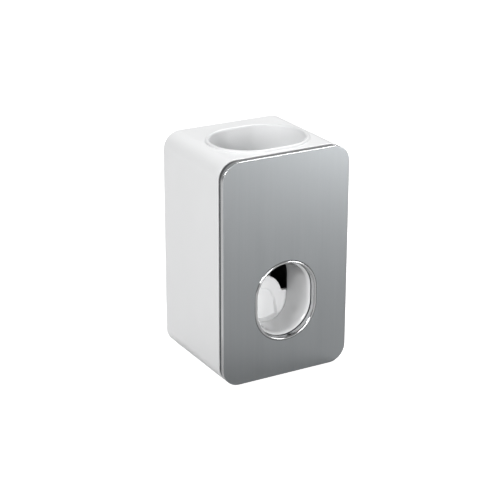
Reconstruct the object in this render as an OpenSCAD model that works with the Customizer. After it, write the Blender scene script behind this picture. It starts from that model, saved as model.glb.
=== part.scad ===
// Wall-mounted toothpaste dispenser with a push-pad piston pump.
// X runs across the front, +Y runs back towards the wall and +Z is up. Lengths are in millimetres.
// Depths are measured back from the face of the front plate, heights up from the base.

/* [Housing] */
// Width of the housing and of its front plate
housing_w = 62; // [60:1:70]
// Height of the housing
housing_h = 101; // [99:1:112]
// Depth from the face of the front plate to the back edge of the housing
housing_d = 54; // [53.5:0.5:62]
// Radius of the four long edges
corner_r = 8; // [6.5:0.5:11]
// Wall of the housing
shell_wall = 2.2; // [1.8:0.1:2.6]

/* [Front] */
// Thickness of the front plate
plate_t = 1.8; // [1.4:0.1:2.2]
// Bright chamfer round the face of the front plate
plate_chamfer = 0.4; // [0.2:0.05:0.7]
// Width of the shadow groove behind the front plate
groove_w = 2.4; // [2:0.1:2.8]
// How far the shadow groove is set in from the side of the housing
groove_inset = 0.5; // [0.4:0.1:1.6]
// Thickness of the tape that holds the front plate
tape_t = 0.3; // [0.2:0.05:0.5]
// Margin of the tape inside the outline of the plate carrier
tape_margin = 2; // [1:0.5:4]

/* [Brush window] */
// Width of the window in the front plate
window_w = 31; // [29:0.5:32.5]
// Straight stretch between the two round ends of the window
window_straight = 6; // [4:0.5:8]
// Height of the window's centre
window_z = 34.8; // [34:0.2:36]
// Wall of the bright trim ring
trim_wall = 1.3; // [0.5:0.1:1.6]
// How far the trim ring stands proud of the front plate
trim_proud = 0.35; // [0.2:0.05:0.6]
// Wall of the brush bowl
bowl_wall = 1.2; // [1:0.1:1.5]
// Radius of the rolled mouth of the bowl
mouth_r = 3; // [1.5:0.25:4]
// Depth of the bowl's back edge
bowl_depth = 20.5; // [20:0.25:21.5]
// How much the radius of the bowl shrinks towards the back
bowl_draft = 0.2; // [0.1:0.1:0.6]
// How far the lower back edge of the bowl leans forward
heel_lean = 4.4; // [3:0.2:5]
// Height of the leaning part of that edge
heel_rise = 10.8; // [9:0.2:12]

/* [Push pad] */
// Thickness of the push pad
pad_t = 2; // [1.6:0.1:2.4]
// Height of the pad's shoulders
shoulder_z = 30; // [29.4:0.2:31.2]
// Radius of the pad's domed head
dome_r = 10.2; // [8:0.2:10.6]
// How far the middle of that dome lies below the shoulders
dome_drop = 1.4; // [0:0.2:2]
// Fillet between the head and the shoulders
shoulder_fillet = 1.5; // [0.8:0.1:2]
// Radius of the arched brush rest
rest_r = 6.3; // [4:0.1:7]
// How far the middle of the arch lies below the shoulders
rest_drop = 3.4; // [1.5:0.1:3.8]
// Depth of the brush rest at its top
rest_sink = 0.6; // [0.4:0.1:0.9]
// How far the floor of the rest and the back of the pad lean forward
rest_lean = 2.4; // [1.6:0.1:2.8]

/* [Tube well] */
// Width of the well's mouth
well_w = 43; // [41:0.5:44]
// Front-to-back size of the well's mouth
well_d = 33.4; // [31:0.2:34]
// Depth of the well's centre
well_setback = 25.2; // [24.8:0.2:26.4]
// Radius of the half-round bead on the well's mouth
bead_r = 0.9; // [0.8:0.05:1]
// Wall of the well
well_wall = 1.1; // [0.9:0.05:1.2]
// How much the radius of the well shrinks down to its floor
well_draft = 1.2; // [0.6:0.2:2]
// Thickness of the well's floor
well_floor_t = 1.6; // [1.2:0.1:2.2]

/* [Tube socket] */
// Radius of the soft bore that grips the neck of the tube
neck_r = 6; // [5.5:0.1:6.4]
// Length of that bore
neck_grip = 6.6; // [5.6:0.2:7.4]
// Wall of the soft seal round the neck
seal_wall = 2; // [1.6:0.1:2.2]

/* [Pump] */
// Radius of the pump's bore
pump_r = 5.2; // [4.8:0.1:5.4]
// Wall of the pump's cylinder
pump_wall = 1.4; // [1.2:0.1:1.8]
// Depth of the nozzle
nozzle_depth = 12.5; // [12:0.25:13.5]
// Length of the piston
piston_len = 4.2; // [3.8:0.1:4.8]
// Radius of the piston rod
rod_r = 2.2; // [1.8:0.1:2.5]
// Radius of the button on the end of the piston rod
button_r = 4.6; // [4:0.1:5.4]

/* [Lever] */
// Angle that a full push turns the lever through
push_deg = 18; // [12:1:18]
// Height of the lever's nose above its pivot
upper_arm = 13.5; // [13:0.25:14]
// Height of the pivot above the return spring
lower_arm = 22; // [20.5:0.5:23]
// Distance of the pivot behind the bowl
pivot_setback = 10.5; // [10:0.25:11]
// Radius of the pivot pin
pin_r = 1.5; // [1.2:0.1:1.8]
// Wall of the barrel round the pivot pin
barrel_wall = 2.1; // [1.6:0.1:2.4]

/* [Return spring] */
// Radius of the spring's wire
wire_r = 0.4; // [0.3:0.05:0.5]
// Radius of the coil, to the middle of the wire
coil_r = 4; // [3.5:0.25:4.5]
// Number of turns
spring_turns = 6; // [5:1:8]

/* [Wall bracket] */
// Width of the bracket's plate
bracket_w = 40; // [34:1:42]
// Height of the bracket's plate
bracket_h = 70; // [66:1:74]
// Thickness of the bracket's plate
bracket_t = 1.2; // [1:0.1:1.6]
// Thickness of the adhesive pad
adhesive_t = 1; // [0.6:0.1:1.4]
// How far the dispenser is lifted to free it from the bracket
lift_travel = 11; // [10.6:0.2:12]

/* [Hidden] */
$fn = 64;

// Clearances: a seat, a fixed fit, a running fit, a moving face and a wide gap; then the overrun of cuts
seat_gap = 0.05;
fit_gap = 0.15;
run_fit = 0.06;
run_gap = 0.3;
wide_gap = 0.5;
over = 1;

// Screws: a shank in a pilot hole, a flat or low head and its cross recess
pilot_r = 1.15;
screw_r = pilot_r - seat_gap;
screw_hole_r = screw_r + fit_gap;
screw_len = 7;
screw_head_r = 2.2;
screw_head_h = 1.5;
cross_w = 0.7;
cross_l = 2.6;
cross_deep = 0.8;

// Front plate, carrier and housing in depth
tape_back = plate_t + tape_t;
shell_front = plate_t + groove_w;
carrier_rim_t = 1.6;
carrier_rim_len = 2.6;

// Back cover and wall bracket in depth
cover_recess = 2;
cover_t = 2.5;
cover_back = housing_d - cover_recess;
cover_front = cover_back - cover_t;
bracket_front = cover_back + run_gap;
bracket_back = bracket_front + bracket_t;
adhesive_back = bracket_back + adhesive_t;
total_d = max(housing_d, adhesive_back);
front_y = (trim_proud - total_d) / 2;

// Bosses and screws of the back cover
boss_r = 4;
boss_len = 10;
boss_inset = 7.5;
boss_rib_t = 1.6;
cover_head_r = 2.8;
cover_head_h = 1.3;
counter_r = cover_head_r + run_gap;
counter_floor = cover_back - cover_head_h - seat_gap;

// Trim ring and bowl
trim_r = window_w / 2 - seat_gap;
trim_inner_r = trim_r - trim_wall;
trim_overhang = 0.35;
carrier_window_r = trim_inner_r + trim_overhang;
bowl_outer_r = carrier_window_r - run_gap;
bowl_r = bowl_outer_r - bowl_wall;
bowl_front = tape_back + run_gap;
mouth_len = sqrt(bowl_wall * (2 * mouth_r - bowl_wall));
bowl_flange_w = 2.8;
bowl_flange_t = 1.4;
bowl_top = window_z + window_straight / 2 + bowl_outer_r;
bowl_low = window_z - window_straight / 2 - bowl_r;
heel_z = bowl_low + heel_rise;

// Mouth of the well
well_r = well_d / 2;
well_straight = well_w - well_d;
well_hole_r = well_r + well_wall + fit_gap;

// Nozzle: the spout's end, its pocket, the duckbill and the collar
spout_gap = 1.2;
spout_r = 5.8;
spout_end = bowl_top + spout_gap;
spout_hole_r = 2.6;
pocket_r = 4.6;
pocket_h = 2.2;
pocket_roof_t = 0.9;
bill_flange_t = 1;
bill_r = 3.3;
bill_wall = 1.3;
bill_show = 0.8;
bill_len = 1.6;
slit_w = 0.25;
lip_t = 0.5;
bill_tip = bowl_top - bowl_wall - bill_show;
bill_flange_low = spout_end + pocket_h - bill_flange_t;
collar_r = bill_r + fit_gap;
nozzle_hole_r = bill_r + over;
collar_lip_t = 0.7;

// Pump in depth and height
cylinder_r = pump_r + pump_wall;
pump_z = spout_end + pocket_h + pocket_roof_t + pump_r;
pump_front_t = 2;
bore_front = nozzle_depth - spout_hole_r;
pump_front = bore_front - pump_front_t;
port_r = 2.6;
port_depth = well_setback - port_r;
piston_front = port_depth + port_r + wide_gap;
piston_back = piston_front + piston_len;
plug_front = piston_back + run_gap;
plug_len = 2.6;
cylinder_back = plug_front + plug_len;
cap_t = 1.4;
cap_back = cylinder_back + cap_t;

// Inlet: valve pocket, flap, soft seal, its ring and the well's floor, from the bottom up
inlet_floor_t = 1.2;
inlet_pocket_h = 2.3;
flap_t = 0.9;
flap_r = 3.9;
flap_slit = 0.5;
flap_hinge_deg = 70;
seal_floor_t = 1.1;
seal_hole_r = 3;
seal_lead = 0.9;
seal_flange_t = 1.4;
cup_wall = 1.8;
cup_floor_t = 1.4;
inlet_stem_r = flap_r + flap_slit + cup_wall;
ring_wall = 1.4;
ring_t = 1.4;
ring_skirt = 3.4;
inlet_pocket_z = pump_z + pump_r + inlet_floor_t;
flap_z = inlet_pocket_z + inlet_pocket_h;
seal_z = flap_z + flap_t;
neck_z = seal_z + seal_floor_t;
seal_top = neck_z + neck_grip + seal_lead;
cup_top = seal_top - seal_flange_t;
ring_top = seal_top + ring_t;
well_floor_z = ring_top + well_floor_t;
seal_r = neck_r + seal_wall;
cup_r = seal_r + fit_gap;
cup_outer_r = cup_r + cup_wall;
ring_skirt_r = cup_outer_r + fit_gap;
ring_hole_r = neck_r + seal_lead + wide_gap;
floor_hole_r = ring_hole_r + ring_wall;

// Piston, O-ring and button; the lever's nose waits just behind the button
piston_r = pump_r - run_fit;
ring_wire_r = 0.8;
o_ring_r = pump_r - ring_wire_r - run_fit;
groove_r = o_ring_r - ring_wire_r - seat_gap;
groove_len = 2 * (ring_wire_r + seat_gap);
button_t = 2;
nose_r = 3;
nose_w = 10;
nose_drop = 1;
pivot_depth = bowl_depth + pivot_setback;
pivot_z = pump_z - nose_drop - upper_arm;
nose_base = cap_back + wide_gap + button_t + seat_gap + nose_r - pivot_depth;
stroke = (upper_arm * sin(push_deg) + nose_base * (1 - cos(push_deg)) + seat_gap) / cos(push_deg);
button_front = cap_back + wide_gap + stroke;
button_back = button_front + button_t;
nose_depth = button_back + seat_gap + nose_r;

// Push pad, its pegs and the lever's backing plate
pad_gap = run_gap + seat_gap;
pad_r = bowl_r + bowl_wall / 2;
foot_z = window_z - window_straight / 2;
pad_low = foot_z - pad_r;
notch_reach = dome_r + shoulder_fillet;
notch_rise = dome_drop + shoulder_fillet;
notch_x = sqrt(notch_reach * notch_reach - notch_rise * notch_rise);
dome_z = shoulder_z - dome_drop;
backing_t = 2.4;
backing_w = 14;
backing_margin = 2.4;
backing_low = pad_low + backing_margin;
backing_top = dome_z + dome_r - backing_margin - run_gap;
backing_front = bowl_depth + pad_gap + pad_t;
backing_back = backing_front + backing_t;
peg_r = 1.2;
peg_x = 4;
peg_z = heel_z + peg_r + wide_gap;

// Lever
barrel_r = pin_r + run_fit + barrel_wall;
web_w = 12;
web_h = 4;
elbow_depth = (pivot_depth + nose_depth) / 2 + barrel_r;
elbow_z = pivot_z + upper_arm / 5;

// Spring and its two seats
spring_land = 0.6;
spring_z = pivot_z - lower_arm;
spring_disc_r = coil_r + wire_r + wide_gap;
spring_front = backing_back + spring_land + seat_gap;
seat_r = coil_r - wire_r - run_gap;
seat_len = 2.2;
spring_steps = 10;
wire_sides = 6;

// Hooks of the bracket and keyhole slots of the cover
hook_t = 2;
hook_pitch = 52;
hook_neck_w = 7.6;
hook_neck_h = 6;
hook_head_w = 13;
hook_head_h = 9;
hook_r = 1;
key_gap = 0.4;
bracket_rise = 5;
bracket_z = housing_h / 2 + bracket_rise;
bracket_r = 5;
adhesive_margin = 2;
hook_front = cover_front - run_gap - hook_t;

// Chassis: two cheeks, a rear wall for the spring, four ears and two bosses for the pump.
// Each cheek takes a share of the room that it and the posts leave between bowl and housing.
cheek_t = 2;
post_r = 3.4;
cheek_room = housing_w / 2 - shell_wall - bowl_outer_r - cheek_t - 2 * post_r - seat_gap;
cheek_share = 0.5217;
cheek_x = bowl_outer_r + cheek_share * cheek_room;
cheek_front = bowl_depth - wide_gap;
cheek_low = boss_inset + boss_r + run_gap;
lug_t = 2.4;
cheek_top = pump_z + cylinder_r - lug_t;
chassis_gap = 1;
chassis_wall = 2;
chassis_back = hook_front - chassis_gap;
spring_back = chassis_back - chassis_wall - seat_gap;
spring_wall_over = 6;
spring_wall_top = spring_z + spring_disc_r + spring_wall_over;
post_x = cheek_x + cheek_t + post_r + seat_gap;
post_rise = 6;
post_low_z = cheek_low + post_r - over;
post_high_z = pivot_z + post_rise;
ear_t = 2;
lug_len = 9;
lug_boss_r = 2.8;
lug_boss_h = screw_len + chassis_gap;
lug_x = cheek_x + cheek_t + lug_boss_r - wide_gap;

// Pivot pin and its clips
pin_over = 1.9;
pin_half = cheek_x + cheek_t + pin_over;
clip_t = 0.6;
clip_wall = 1.4;
clip_groove = 0.3;
clip_grip_r = pin_r - clip_groove + seat_gap;
clip_x = cheek_x + cheek_t + run_gap + clip_t / 2;
clip_mouth_share = 0.8;

echo(pivot_mm = [0, front_y + pivot_depth, pivot_z], stroke_mm = stroke, front_y_mm = front_y);

// Moves what is drawn at depth 0 back to a depth
module at_depth(depth) {
    translate([0, front_y + depth, 0]) children();
}

// Extrudes an outline of X and height from one depth to another
module between_depths(near, far) {
    at_depth(far) rotate([90, 0, 0]) linear_extrude(far - near) children();
}

// Extrudes an outline of depth and height evenly to both sides of the middle
module across(width) {
    translate([-width / 2, front_y, 0]) rotate([90, 0, 90]) linear_extrude(width) children();
}

// A round bar from front to back
module bar_y(r, near, far) {
    at_depth(near) rotate([-90, 0, 0]) cylinder(h = far - near, r = r);
}

// A round bar from side to side at the pivot's place, centred
module bar_x(r, half, depth = pivot_depth, z = pivot_z) {
    translate([-half, front_y + depth, z]) rotate([0, 90, 0]) cylinder(h = 2 * half, r = r);
}

// An upright round bar
module bar_z(r, low, high, depth) {
    translate([0, front_y + depth, low]) cylinder(h = high - low, r = r);
}

module at_posts() {
    for (x = [-1, 1], z = [post_low_z, post_high_z])
        translate([x * post_x, 0, z]) children();
}

module at_lugs() {
    for (x = [-1, 1]) translate([x * lug_x, 0, 0]) children();
}

module at_cover_screws() {
    for (x = [-1, 1], z = [boss_inset, housing_h - boss_inset])
        translate([x * (housing_w / 2 - boss_inset), 0, z]) children();
}

module rounded_rect(w, h, r) {
    square([w - 2 * r, h], center = true);
    square([w, h - 2 * r], center = true);
    for (x = [-1, 1], y = [-1, 1])
        translate([x * (w / 2 - r), y * (h / 2 - r)]) circle(r);
}

// The outline of the housing, set in by a margin
module housing_outline(inset) {
    translate([0, housing_h / 2])
        rounded_rect(housing_w - 2 * inset, housing_h - 2 * inset, corner_r - inset);
}

// The outline of the window, with a given end radius
module window_outline(r) {
    translate([0, window_z]) {
        square([2 * r, window_straight], center = true);
        for (side = [-1, 1]) translate([0, side * window_straight / 2]) circle(r);
    }
}

// The outline of the well from above, with a given end radius
module well_outline(r) {
    square([well_straight, 2 * r], center = true);
    for (side = [-1, 1]) translate([side * well_straight / 2, 0]) circle(r);
}

// Sweeps a half profile round a long loop: two half turns joined by straight stretches.
// The profile has its distance from the loop's middle line along X and its height along Y.
module loop_sweep(straight) {
    for (turn = [0, 180]) rotate([0, 0, turn]) {
        translate([straight / 2, 0, 0]) rotate([0, 0, -90]) rotate_extrude(angle = 180) children();
        translate([-straight / 2, 0, 0]) rotate([90, 0, 90]) linear_extrude(straight) children();
    }
}

// The same sweep standing upright round the window, with its heights as depths
module window_sweep() {
    translate([0, front_y, window_z]) rotate([-90, 0, 0]) rotate([0, 0, 90])
        loop_sweep(window_straight) children();
}

// A screw with a cross recess, its seat at the origin and its shank pointing down
module screw(head_r, head_h) {
    difference() {
        union() {
            translate([0, 0, -screw_len]) cylinder(h = screw_len, r = screw_r);
            cylinder(h = head_h, r = head_r);
        }
        for (turn = [0, 90]) rotate([0, 0, turn])
            translate([-cross_l / 2, -cross_w / 2, head_h - cross_deep])
                cube([cross_l, cross_w, cross_deep + over]);
    }
}

// Housing and front

module boss_outlines() {
    for (x = [-1, 1], z = [-1, 1])
        translate([x * (housing_w / 2 - boss_inset), housing_h / 2 + z * (housing_h / 2 - boss_inset)]) {
            circle(boss_r);
            translate([x * boss_inset / 2, 0]) square([boss_inset, boss_rib_t], center = true);
            translate([0, z * boss_inset / 2]) square([boss_rib_t, boss_inset], center = true);
        }
}

module outer_shell() {
    color([0.93, 0.93, 0.93]) difference() {
        union() {
            between_depths(shell_front, housing_d) difference() {
                housing_outline(0);
                housing_outline(shell_wall);
            }
            between_depths(cover_front - boss_len, cover_front) intersection() {
                boss_outlines();
                housing_outline(shell_wall / 2);
            }
        }
        at_cover_screws() bar_y(pilot_r, cover_front - screw_len - over, cover_front + over);
        at_depth(well_setback) translate([0, 0, housing_h - shell_wall - over])
            linear_extrude(shell_wall + 2 * over) well_outline(well_hole_r);
    }
}

// Half of the well: a half-round bead on the housing's top, a drafted wall and half of the floor
module well_profile() {
    wall_top = housing_h - shell_wall;
    polygon([
        [well_r, housing_h],
        [well_r + well_wall, housing_h],
        [well_r + well_wall, wall_top],
        [well_r + well_wall - well_draft, ring_top],
        [0, ring_top],
        [0, well_floor_z],
        [well_r - well_draft, well_floor_z],
    ]);
    intersection() {
        translate([well_r + bead_r, housing_h]) circle(bead_r);
        translate([well_r, housing_h]) square([2 * bead_r, bead_r]);
    }
}

module tube_well() {
    color([0.95, 0.95, 0.95]) difference() {
        at_depth(well_setback) loop_sweep(well_straight) well_profile();
        bar_z(floor_hole_r, ring_top - over, well_floor_z + over, well_setback);
    }
}

module plate_carrier() {
    color([0.36, 0.37, 0.38]) difference() {
        union() {
            between_depths(tape_back, shell_front) difference() {
                housing_outline(groove_inset);
                window_outline(carrier_window_r);
            }
            between_depths(shell_front, shell_front + carrier_rim_len) difference() {
                housing_outline(shell_wall + fit_gap);
                housing_outline(shell_wall + fit_gap + carrier_rim_t);
            }
            at_posts() bar_y(post_r, shell_front, cheek_front);
        }
        at_posts() bar_y(pilot_r, cheek_front - screw_len, cheek_front + over);
    }
}

module plate_tape() {
    color([0.2, 0.2, 0.2]) between_depths(plate_t, tape_back) difference() {
        housing_outline(groove_inset + tape_margin);
        window_outline(window_w / 2 + tape_margin);
    }
}

module front_plate() {
    color([0.62, 0.64, 0.66]) difference() {
        hull() {
            between_depths(plate_chamfer, plate_t) housing_outline(0);
            between_depths(0, plate_t) housing_outline(plate_chamfer);
        }
        between_depths(-over, plate_t + over) window_outline(window_w / 2);
    }
}

module window_trim() {
    crest_r = trim_wall / 2;
    color([0.85, 0.86, 0.87]) window_sweep() {
        translate([trim_inner_r, crest_r - trim_proud])
            square([trim_wall, tape_back + trim_proud - crest_r]);
        translate([trim_inner_r + crest_r, crest_r - trim_proud]) circle(crest_r);
    }
}

// Half of the bowl: a rolled mouth, a flange behind the carrier and a drafted wall
module bowl_profile() {
    mouth = bowl_front + mouth_len;
    intersection() {
        translate([bowl_r + mouth_r, mouth]) circle(mouth_r);
        translate([bowl_r, bowl_front]) square([bowl_wall, mouth_len]);
    }
    polygon([
        [bowl_r, mouth],
        [bowl_outer_r, mouth],
        [bowl_outer_r - bowl_draft, bowl_depth],
        [bowl_r - bowl_draft, bowl_depth],
    ]);
    translate([bowl_outer_r - bowl_wall / 2, shell_front])
        square([bowl_flange_w + bowl_wall / 2, bowl_flange_t]);
}

// All that lies behind a face in side view: upright above the heel and leaning forward below it
module behind_face(shift, lean) {
    low = bowl_low - bowl_outer_r;
    top = bowl_top + bowl_outer_r;
    polygon([
        [bowl_depth + shift - lean * (heel_z - low) / heel_rise, low],
        [bowl_depth + shift, heel_z],
        [bowl_depth + shift, top],
        [2 * housing_d, top],
        [2 * housing_d, low],
    ]);
}

module brush_bowl() {
    color([0.93, 0.93, 0.93]) difference() {
        window_sweep() bowl_profile();
        across(4 * bowl_outer_r) behind_face(0, heel_lean);
        bar_z(nozzle_hole_r, window_z, bowl_top + over, nozzle_depth);
    }
}

// Inner frame

// One cheek in side view: a plate whose upper back corner is sloped off behind the lever's arm
module cheek_side() {
    slope_z = spring_wall_top + (cheek_top - spring_wall_top) / 3;
    polygon([
        [cheek_front, cheek_low],
        [chassis_back, cheek_low],
        [chassis_back, slope_z],
        [cap_back, cheek_top],
        [cheek_front, cheek_top],
    ]);
}

module ear_outline() {
    reach = post_x - cheek_x - cheek_t / 2;
    for (x = [-1, 1], z = [post_low_z, post_high_z]) translate([x * post_x, z]) {
        circle(post_r);
        translate([-x * reach / 2, 0]) square([reach, 2 * post_r], center = true);
    }
}

module chassis() {
    color([0.05, 0.05, 0.055]) difference() {
        union() {
            for (x = [-1, 1]) translate([x * (cheek_x + cheek_t / 2), 0, 0])
                across(cheek_t) cheek_side();
            between_depths(cheek_front, cheek_front + ear_t) ear_outline();
            between_depths(chassis_back - chassis_wall, chassis_back)
                translate([-cheek_x - seat_gap, cheek_low])
                    square([2 * (cheek_x + seat_gap), spring_wall_top - cheek_low]);
            translate([0, 0, spring_z])
                bar_y(seat_r, spring_back - seat_len, chassis_back - chassis_wall / 2);
            at_lugs() bar_z(lug_boss_r, cheek_top - lug_boss_h, cheek_top, well_setback);
        }
        at_posts() bar_y(screw_hole_r, cheek_front - over, cheek_front + ear_t + over);
        at_lugs() bar_z(pilot_r, cheek_top - screw_len, cheek_top + over, well_setback);
        bar_x(pin_r + seat_gap, pin_half + over);
    }
}

module chassis_screws() {
    color([0.7, 0.7, 0.72]) at_posts() at_depth(cheek_front + ear_t) rotate([-90, 0, 0])
        screw(screw_head_r, screw_head_h);
}

// Pump

module pump_body() {
    color([0.88, 0.9, 0.92]) difference() {
        union() {
            translate([0, 0, pump_z]) bar_y(cylinder_r, pump_front, cylinder_back);
            bar_z(inlet_stem_r, pump_z, flap_z, well_setback);
            bar_z(cup_outer_r, flap_z - cup_floor_t, cup_top, well_setback);
            bar_z(spout_r, spout_end, pump_z, nozzle_depth);
            at_depth(well_setback) translate([0, 0, cheek_top]) linear_extrude(lug_t)
                rounded_rect(2 * (lug_x + lug_boss_r), lug_len, lug_len / 2 - seat_gap);
        }
        translate([0, 0, pump_z]) bar_y(pump_r, bore_front, cylinder_back + over);
        bar_z(spout_hole_r, spout_end - over, pump_z, nozzle_depth);
        bar_z(pocket_r, spout_end - over, spout_end + pocket_h, nozzle_depth);
        bar_z(port_r, pump_z, inlet_pocket_z + over, port_depth);
        bar_z(flap_r + flap_slit, inlet_pocket_z, flap_z + over, well_setback);
        bar_z(cup_r, flap_z, cup_top + over, well_setback);
        at_lugs() bar_z(screw_hole_r, cheek_top - over, cheek_top + lug_t + over, well_setback);
    }
}

module pump_screws() {
    color([0.7, 0.7, 0.72]) at_lugs() at_depth(well_setback) translate([0, 0, cheek_top + lug_t])
        screw(screw_head_r, screw_head_h);
}

// A soft cup: a floor with a hole, a bore for the tube's neck and a flange on the pump's cup
module neck_seal() {
    color([0.75, 0.8, 0.82]) at_depth(well_setback) rotate_extrude() polygon([
        [seal_hole_r, seal_z],
        [seal_r, seal_z],
        [seal_r, cup_top],
        [cup_outer_r, cup_top],
        [cup_outer_r, seal_top],
        [neck_r + seal_lead, seal_top],
        [neck_r, neck_z + neck_grip],
        [neck_r, neck_z],
        [seal_hole_r, neck_z],
    ]);
}

module seal_ring() {
    color([0.93, 0.93, 0.93]) at_depth(well_setback) rotate_extrude() polygon([
        [ring_hole_r, seal_top],
        [ring_skirt_r, seal_top],
        [ring_skirt_r, seal_top - ring_skirt],
        [ring_skirt_r + ring_wall, seal_top - ring_skirt],
        [ring_skirt_r + ring_wall, ring_top],
        [ring_hole_r, ring_top],
    ]);
}

// A disc with a flap left standing on a hinge, so that it opens downwards only
module inlet_flap() {
    color([0.8, 0.45, 0.4]) difference() {
        bar_z(seal_r, flap_z, seal_z, well_setback);
        at_depth(well_setback) translate([0, 0, flap_z - over]) rotate([0, 0, 90 + flap_hinge_deg / 2])
            rotate_extrude(angle = 360 - flap_hinge_deg) translate([flap_r, 0])
                square([flap_slit, flap_t + 2 * over]);
    }
}

module piston() {
    groove_at = piston_front + (piston_len - groove_len) / 2;
    color([0.9, 0.9, 0.88]) translate([0, 0, pump_z]) difference() {
        union() {
            bar_y(piston_r, piston_front, piston_back);
            bar_y(rod_r, piston_back - seat_gap, button_front + seat_gap);
            bar_y(button_r, button_front, button_back);
        }
        difference() {
            bar_y(pump_r, groove_at, groove_at + groove_len);
            bar_y(groove_r, groove_at - over, groove_at + groove_len + over);
        }
    }
}

module piston_o_ring() {
    color([0.1, 0.1, 0.1]) translate([0, 0, pump_z]) at_depth(piston_front + piston_len / 2)
        rotate([90, 0, 0]) rotate_extrude() translate([o_ring_r, 0]) circle(ring_wire_r);
}

module cylinder_cap() {
    color([0.9, 0.9, 0.88]) translate([0, 0, pump_z]) difference() {
        union() {
            bar_y(pump_r - seat_gap, plug_front, cylinder_back);
            bar_y(cylinder_r, cylinder_back, cap_back);
        }
        bar_y(rod_r + run_fit, plug_front - over, cap_back + over);
    }
}

// A duckbill: a flanged tube whose end closes to a slit
module nozzle_valve() {
    bill_z = bill_tip + bill_len;
    bill_bore_r = bill_r - bill_wall;
    color([0.8, 0.45, 0.4]) at_depth(nozzle_depth) difference() {
        union() {
            translate([0, 0, bill_flange_low]) cylinder(h = bill_flange_t, r = pocket_r - seat_gap);
            translate([0, 0, bill_z]) cylinder(h = bill_flange_low - bill_z, r = bill_r);
            hull() {
                translate([0, 0, bill_z]) cylinder(h = seat_gap, r = bill_r, $fn = 32);
                translate([-bill_r, -lip_t, bill_tip]) cube([2 * bill_r, 2 * lip_t, seat_gap]);
            }
        }
        translate([0, 0, bill_z]) cylinder(h = spout_end + pocket_h - bill_z, r = bill_bore_r);
        translate([-bill_bore_r, -slit_w / 2, bill_tip - over])
            cube([2 * bill_bore_r, slit_w, bill_len + 2 * over]);
    }
}

module nozzle_collar() {
    color([0.93, 0.93, 0.93]) at_depth(nozzle_depth) rotate_extrude() polygon([
        [collar_r, spout_end - collar_lip_t],
        [spout_r, spout_end - collar_lip_t],
        [spout_r, spout_end],
        [pocket_r - seat_gap, spout_end],
        [pocket_r - seat_gap, bill_flange_low],
        [collar_r, bill_flange_low],
    ]);
}

// Lever

// Side view of the web from the barrel down to the backing plate
module web_side() {
    polygon([
        [pivot_depth - barrel_r, pivot_z],
        [backing_front, backing_top],
        [backing_front, backing_top - web_h],
        [backing_back, backing_top - web_h],
        [pivot_depth, pivot_z - barrel_r],
        [pivot_depth + barrel_r, pivot_z],
    ]);
}

// Side view of the arm from the barrel up to the nose, bent to pass below the cylinder and button
module arm_side() {
    polygon([
        [pivot_depth, pivot_z - barrel_r],
        [elbow_depth, elbow_z - barrel_r],
        [nose_depth + nose_r, pivot_z + upper_arm],
        [nose_depth - nose_r / 2, pivot_z + upper_arm],
        [button_back + wide_gap, pump_z - button_r - wide_gap],
        [elbow_depth - barrel_r, elbow_z + barrel_r / 3],
        [pivot_depth, pivot_z + barrel_r],
    ]);
}

module backing_outline() {
    translate([0, (backing_low + backing_top) / 2])
        rounded_rect(backing_w, backing_top - backing_low, backing_margin);
}

module rocker_lever() {
    pad_back = backing_front - bowl_depth;
    color([0.06, 0.06, 0.065]) difference() {
        union() {
            bar_x(barrel_r, cheek_x - run_gap);
            across(web_w) web_side();
            across(nose_w) arm_side();
            bar_x(nose_r, nose_w / 2, nose_depth, pivot_z + upper_arm);
            intersection() {
                between_depths(0, housing_d) backing_outline();
                slab(pad_back, rest_lean, pad_back + backing_t);
            }
            translate([0, 0, spring_z]) {
                bar_y(spring_disc_r, backing_front + seat_gap, backing_back + spring_land);
                bar_y(seat_r, backing_front + seat_gap, spring_front + seat_len);
            }
        }
        bar_x(pin_r + run_fit, pin_half);
        at_pegs() bar_y(peg_r + fit_gap, 0, housing_d);
    }
}

module at_pegs() {
    for (x = [-1, 1]) translate([x * peg_x, 0, peg_z]) children();
}

// The pad from the front: a round foot, two shoulders and a domed head
module pad_outline() {
    intersection() {
        translate([0, foot_z]) circle(pad_r);
        translate([-pad_r, pad_low]) square([2 * pad_r, shoulder_z - pad_low]);
    }
    translate([0, dome_z]) {
        circle(dome_r);
        for (x = [-notch_x, notch_x]) difference() {
            polygon([[0, 0], [x, 0], [x, notch_rise]]);
            translate([x, notch_rise]) circle(shoulder_fillet);
        }
    }
}

// The brush rest from the front: upright sides, a round head and a floor level with the bowl's
module rest_outline() {
    head_z = shoulder_z - rest_drop;
    translate([0, head_z]) circle(rest_r);
    intersection() {
        translate([-rest_r, pad_low]) square([2 * rest_r, head_z - pad_low]);
        translate([0, foot_z]) circle(bowl_r - bowl_draft);
    }
}

// What lies between two such faces
module slab(near, near_lean, far) {
    difference() {
        across(4 * pad_r) behind_face(near, near_lean);
        across(5 * pad_r) behind_face(far, rest_lean);
    }
}

module push_pad() {
    color([0.95, 0.95, 0.95]) {
        difference() {
            intersection() {
                between_depths(0, housing_d) pad_outline();
                slab(pad_gap, heel_lean, pad_gap + pad_t);
            }
            difference() {
                between_depths(0, housing_d) rest_outline();
                across(4 * pad_r) behind_face(pad_gap + rest_sink, rest_lean);
            }
        }
        at_pegs() bar_y(peg_r, backing_front - pad_t / 2, backing_back);
    }
}

module pivot_pin() {
    color([0.75, 0.76, 0.78]) difference() {
        bar_x(pin_r, pin_half);
        for (x = [-clip_x, clip_x]) translate([x, 0, 0]) difference() {
            bar_x(pin_r + over, clip_t / 2 + seat_gap);
            bar_x(pin_r - clip_groove, clip_t);
        }
    }
}

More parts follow.
